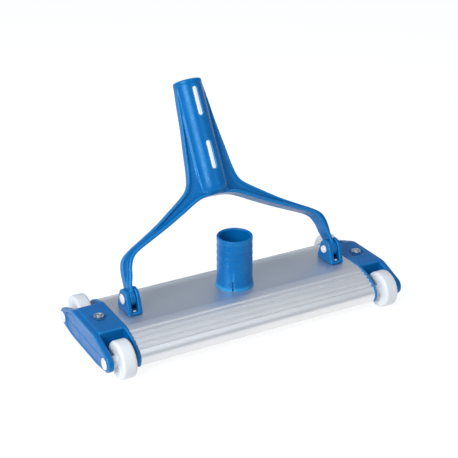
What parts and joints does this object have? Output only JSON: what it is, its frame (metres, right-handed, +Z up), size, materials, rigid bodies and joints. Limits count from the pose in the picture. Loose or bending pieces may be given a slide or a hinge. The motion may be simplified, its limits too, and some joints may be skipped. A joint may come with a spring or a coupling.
{
  "type": "pool vacuum head with brush strips",
  "caption": "Wheeled pool cleaner head: fluted aluminium body, plastic end caps, swivelling hose spigot, hidden brush strips and a forked tilting handle with a pole socket.",
  "frame": {"origin": "middle of the whole object's box in X and Y, on the floor under the wheels, with the handle leaning back as stored", "axes": "+X along the body to the right, +Y to the back, the way the handle leans, +Z up"},
  "size_m": [0.35, 0.192, 0.2409],
  "materials": {
    "blue_plastic": "moulded, satin gloss",
    "white_nylon": "moulded, smooth",
    "anodised_aluminium": "satin anodised, drawn along its length",
    "stainless_steel": "bright rolled",
    "bristle_nylon": "cut filament"
  },
  "bodies": {
    "base": {"body_extrusion": "anodised_aluminium", "left_end_cap": "blue_plastic", "right_end_cap": "blue_plastic", "left_tie_plate": "stainless_steel", "right_tie_plate": "stainless_steel", "left_cap_bolt": "stainless_steel", "right_cap_bolt": "stainless_steel", "left_cap_nut": "stainless_steel", "right_cap_nut": "stainless_steel", "left_bracket": "blue_plastic", "right_bracket": "blue_plastic", "left_pivot_pin": "white_nylon", "right_pivot_pin": "white_nylon", "left_front_bracket_screw": "stainless_steel", "left_back_bracket_screw": "stainless_steel", "right_front_bracket_screw": "stainless_steel", "right_back_bracket_screw": "stainless_steel", "left_front_bracket_nut": "stainless_steel", "left_back_bracket_nut": "stainless_steel", "right_front_bracket_nut": "stainless_steel", "right_back_bracket_nut": "stainless_steel", "front_left_axle_pin": "white_nylon", "front_right_axle_pin": "white_nylon", "back_left_axle_pin": "white_nylon", "back_right_axle_pin": "white_nylon", "spigot_bush": "white_nylon", "front_brush_holder": "blue_plastic", "back_brush_holder": "blue_plastic", "front_bristles": "bristle_nylon", "back_bristles": "bristle_nylon"},
    "handle": {"handle_fork": "blue_plastic", "pole_sleeve": "white_nylon"},
    "spigot": {"hose_spigot": "blue_plastic", "spigot_retaining_ring": "white_nylon"},
    "front_left_roller": {"front_left_wheel": "white_nylon"},
    "front_right_roller": {"front_right_wheel": "white_nylon"},
    "back_left_roller": {"back_left_wheel": "white_nylon"},
    "back_right_roller": {"back_right_wheel": "white_nylon"}
  },
  "joints": [
    {"name": "handle_tilt", "type": "hinge", "parent": "base", "child": "handle", "pos_m": [0, -0.02262, 0.0542], "axis": [1, 0, 0], "range_deg": [-49.5, 110.5]},
    {"name": "spigot_swivel", "type": "hinge", "parent": "base", "child": "spigot", "pos_m": [0, -0.02262, 0.0397], "axis": [0, 0, 1], "continuous": true},
    {"name": "front_left_wheel_spin", "type": "hinge", "parent": "base", "child": "front_left_roller", "pos_m": [-0.15405, -0.07632, 0.0197], "axis": [1, 0, 0], "continuous": true},
    {"name": "front_right_wheel_spin", "type": "hinge", "parent": "base", "child": "front_right_roller", "pos_m": [0.15405, -0.07632, 0.0197], "axis": [1, 0, 0], "continuous": true},
    {"name": "back_left_wheel_spin", "type": "hinge", "parent": "base", "child": "back_left_roller", "pos_m": [-0.15405, 0.03108, 0.0197], "axis": [1, 0, 0], "continuous": true},
    {"name": "back_right_wheel_spin", "type": "hinge", "parent": "base", "child": "back_right_roller", "pos_m": [0.15405, 0.03108, 0.0197], "axis": [1, 0, 0], "continuous": true}
  ]
}
